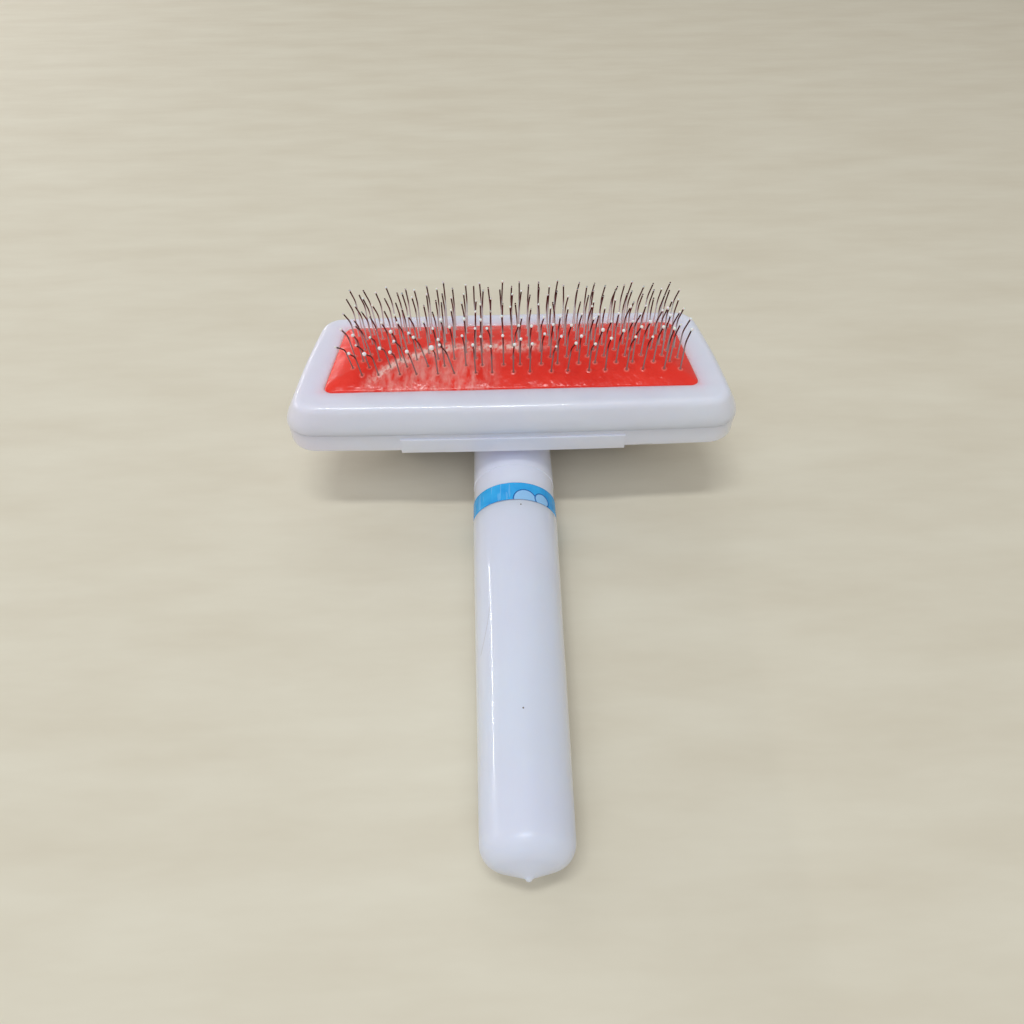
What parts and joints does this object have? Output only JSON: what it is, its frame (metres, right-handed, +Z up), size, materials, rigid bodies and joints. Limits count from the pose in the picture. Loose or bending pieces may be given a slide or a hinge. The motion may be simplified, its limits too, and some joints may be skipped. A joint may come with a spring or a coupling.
{
  "type": "slicker brush",
  "caption": "Pet slicker brush: white plastic head and tapered round grip, domed red rubber pad with staggered bent wire pins tipped with resin balls.",
  "frame": {"origin": "in the middle of the resting flat on the head's back, 8.3 mm behind the middle of the head", "axes": "+Z up through the pin pad, -Y along the handle towards its end, X across the head"},
  "size_m": [0.099, 0.1213, 0.0437],
  "materials": {
    "white_plastic": "gloss",
    "grip_plastic": "gloss",
    "band_film": "gloss",
    "red_rubber": "gloss",
    "backing_cloth": "matte",
    "foam": "matte",
    "pin_wire": "satin",
    "tip_resin": "gloss"
  },
  "bodies": {
    "shell": {"head_frame": "white_plastic", "back_cover": "white_plastic", "neck_band": "band_film", "grip": "grip_plastic", "pin_pad": "red_rubber", "pad_foam": "foam"},
    "pin_bed": {"pad_backing": "backing_cloth"},
    "row_01": {"pin_row_01": "pin_wire", "tip_row_01": "tip_resin"},
    "row_02": {"pin_row_02": "pin_wire", "tip_row_02": "tip_resin"},
    "row_03": {"pin_row_03": "pin_wire", "tip_row_03": "tip_resin"},
    "row_04": {"pin_row_04": "pin_wire", "tip_row_04": "tip_resin"},
    "row_05": {"pin_row_05": "pin_wire", "tip_row_05": "tip_resin"},
    "row_06": {"pin_row_06": "pin_wire", "tip_row_06": "tip_resin"},
    "row_07": {"pin_row_07": "pin_wire", "tip_row_07": "tip_resin"},
    "row_08": {"pin_row_08": "pin_wire", "tip_row_08": "tip_resin"},
    "row_09": {"pin_row_09": "pin_wire", "tip_row_09": "tip_resin"},
    "row_10": {"pin_row_10": "pin_wire", "tip_row_10": "tip_resin"}
  },
  "joints": [
    {"name": "cushion_press", "type": "slide", "parent": "shell", "child": "pin_bed", "axis": [0, 0, -1], "range_m": [0, 0.002], "stiffness_N_per_m": 4000, "deforming": ["pin_pad", "pad_foam", "pad_backing"]},
    {"name": "lean_01", "type": "hinge", "parent": "pin_bed", "child": "row_01", "pos_m": [0, -0.0164, 0.03167], "axis": [1, 0, 0], "range_deg": [-8, 8], "stiffness_Nm_per_rad": 0.02},
    {"name": "lean_02", "type": "hinge", "parent": "pin_bed", "child": "row_02", "pos_m": [0, -0.01438, 0.03204], "axis": [1, 0, 0], "range_deg": [-8, 8], "stiffness_Nm_per_rad": 0.02},
    {"name": "lean_03", "type": "hinge", "parent": "pin_bed", "child": "row_03", "pos_m": [0, -0.01236, 0.03229], "axis": [1, 0, 0], "range_deg": [-8, 8], "stiffness_Nm_per_rad": 0.02},
    {"name": "lean_04", "type": "hinge", "parent": "pin_bed", "child": "row_04", "pos_m": [0, -0.01034, 0.03245], "axis": [1, 0, 0], "range_deg": [-8, 8], "stiffness_Nm_per_rad": 0.02},
    {"name": "lean_05", "type": "hinge", "parent": "pin_bed", "child": "row_05", "pos_m": [0, -0.00832, 0.0325], "axis": [1, 0, 0], "range_deg": [-8, 8], "stiffness_Nm_per_rad": 0.02},
    {"name": "lean_06", "type": "hinge", "parent": "pin_bed", "child": "row_06", "pos_m": [0, -0.0063, 0.03245], "axis": [1, 0, 0], "range_deg": [-8, 8], "stiffness_Nm_per_rad": 0.02},
    {"name": "lean_07", "type": "hinge", "parent": "pin_bed", "child": "row_07", "pos_m": [0, -0.00428, 0.0323], "axis": [1, 0, 0], "range_deg": [-8, 8], "stiffness_Nm_per_rad": 0.02},
    {"name": "lean_08", "type": "hinge", "parent": "pin_bed", "child": "row_08", "pos_m": [0, -0.00226, 0.03204], "axis": [1, 0, 0], "range_deg": [-8, 8], "stiffness_Nm_per_rad": 0.02},
    {"name": "lean_09", "type": "hinge", "parent": "pin_bed", "child": "row_09", "pos_m": [0, -0.00024, 0.03168], "axis": [1, 0, 0], "range_deg": [-8, 8], "stiffness_Nm_per_rad": 0.02},
    {"name": "lean_10", "type": "hinge", "parent": "pin_bed", "child": "row_10", "pos_m": [0, 0.00178, 0.03121], "axis": [1, 0, 0], "range_deg": [-8, 8], "stiffness_Nm_per_rad": 0.02}
  ],
  "couplings": [
    {"joint": "lean_02", "follows": "lean_01", "ratio": 1},
    {"joint": "lean_03", "follows": "lean_01", "ratio": 1},
    {"joint": "lean_04", "follows": "lean_01", "ratio": 1},
    {"joint": "lean_05", "follows": "lean_01", "ratio": 1},
    {"joint": "lean_06", "follows": "lean_01", "ratio": 1},
    {"joint": "lean_07", "follows": "lean_01", "ratio": 1},
    {"joint": "lean_08", "follows": "lean_01", "ratio": 1},
    {"joint": "lean_09", "follows": "lean_01", "ratio": 1},
    {"joint": "lean_10", "follows": "lean_01", "ratio": 1}
  ]
}
